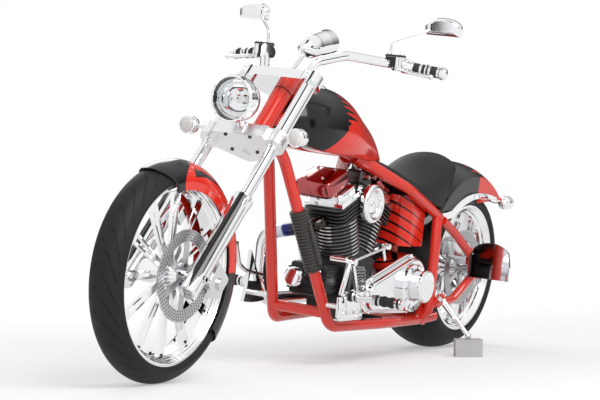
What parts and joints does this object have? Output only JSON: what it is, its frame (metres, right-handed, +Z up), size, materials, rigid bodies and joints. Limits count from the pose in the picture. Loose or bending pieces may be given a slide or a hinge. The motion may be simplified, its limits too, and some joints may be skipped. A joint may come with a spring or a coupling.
{
  "type": "chopper motorcycle",
  "caption": "Long low chopper leaning on its side stand, with a raked fork, wide rear tyre, stretched tank and open engine; the fork steers, the wheels turn and the stand folds.",
  "frame": {"origin": "middle of the machine's footprint on the floor", "axes": "+X forward, +Y to the machine's left, +Z up; the machine leans 7 degrees to its left, on its side stand"},
  "size_m": [2.5953, 0.9141, 1.2944],
  "materials": {
    "red_paint": "gloss orange-red paint with black licks",
    "chrome": "bright chrome",
    "polished_alloy": "polished billet alloy",
    "steel": "ground steel",
    "tyre_rubber": "black tyre rubber",
    "black_rubber": "black moulded rubber",
    "seat_leather": "matte black leather",
    "black_casting": "black engine castings with bright fin edges",
    "block_grey": "plain grey block",
    "lamp_glass": "clear lamp glass",
    "signal_lens": "chrome housings with pale lenses"
  },
  "bodies": {
    "chassis": {"swingarm": "red_paint", "fuel_tank": "red_paint", "fuel_cap": "chrome", "seat": "seat_leather", "rear_fender": "red_paint", "fender_struts": "chrome", "rear_lamps": "chrome", "oil_tank": "red_paint", "crankcase": "black_casting", "rocker_boxes": "black_casting", "horn_cover": "chrome", "intake": "chrome", "primary_cover": "chrome", "transmission": "black_casting", "exhausts": "chrome", "drive_belt": "black_rubber", "left_foot_controls": "chrome", "right_foot_controls": "chrome", "regulator": "black_casting", "plate_bracket": "chrome", "rear_caliper": "polished_alloy", "rear_axle": "steel", "backbone": "red_paint", "cradle_left": "red_paint", "cradle_right": "red_paint", "front_cylinder": "black_casting", "rear_cylinder": "black_casting", "stand_block": "block_grey"},
    "front_end": {"lower_tree": "polished_alloy", "upper_tree": "polished_alloy", "fork_leg_left": "chrome", "fork_leg_right": "chrome", "front_axle": "steel", "headlight": "chrome", "headlight_lens": "lamp_glass", "front_fender": "red_paint", "handlebar": "chrome", "grips": "black_rubber", "clutch_control": "chrome", "brake_control": "chrome", "mirrors": "chrome", "gauge": "chrome", "front_signals": "signal_lens", "front_caliper": "polished_alloy"},
    "wheel_front": {"front_tyre": "tyre_rubber", "front_wheel": "polished_alloy", "front_disc": "steel"},
    "wheel_rear": {"rear_tyre": "tyre_rubber", "rear_wheel": "polished_alloy", "rear_disc": "steel", "rear_pulley": "polished_alloy"},
    "stand": {"side_stand": "chrome"}
  },
  "joints": [
    {"name": "steering", "type": "hinge", "parent": "chassis", "child": "front_end", "pos_m": [0.44195, -0.03414, 0.83168], "axis": [-0.6688, 0.0906, 0.7379], "range_deg": [-28, 28]},
    {"name": "front_wheel_spin", "type": "hinge", "parent": "front_end", "child": "wheel_front", "pos_m": [0.9473, -0.09346, 0.34835], "axis": [-0.0001, 0.9925, -0.1219], "continuous": true},
    {"name": "rear_wheel_spin", "type": "hinge", "parent": "chassis", "child": "wheel_rear", "pos_m": [-0.96771, -0.09596, 0.32881], "axis": [-0.0001, 0.9925, -0.1219], "continuous": true},
    {"name": "stand_fold", "type": "hinge", "parent": "chassis", "child": "stand", "pos_m": [-0.58576, 0.11167, 0.21449], "axis": [0.0003, 0.7932, 0.609], "range_deg": [0, 85]}
  ]
}
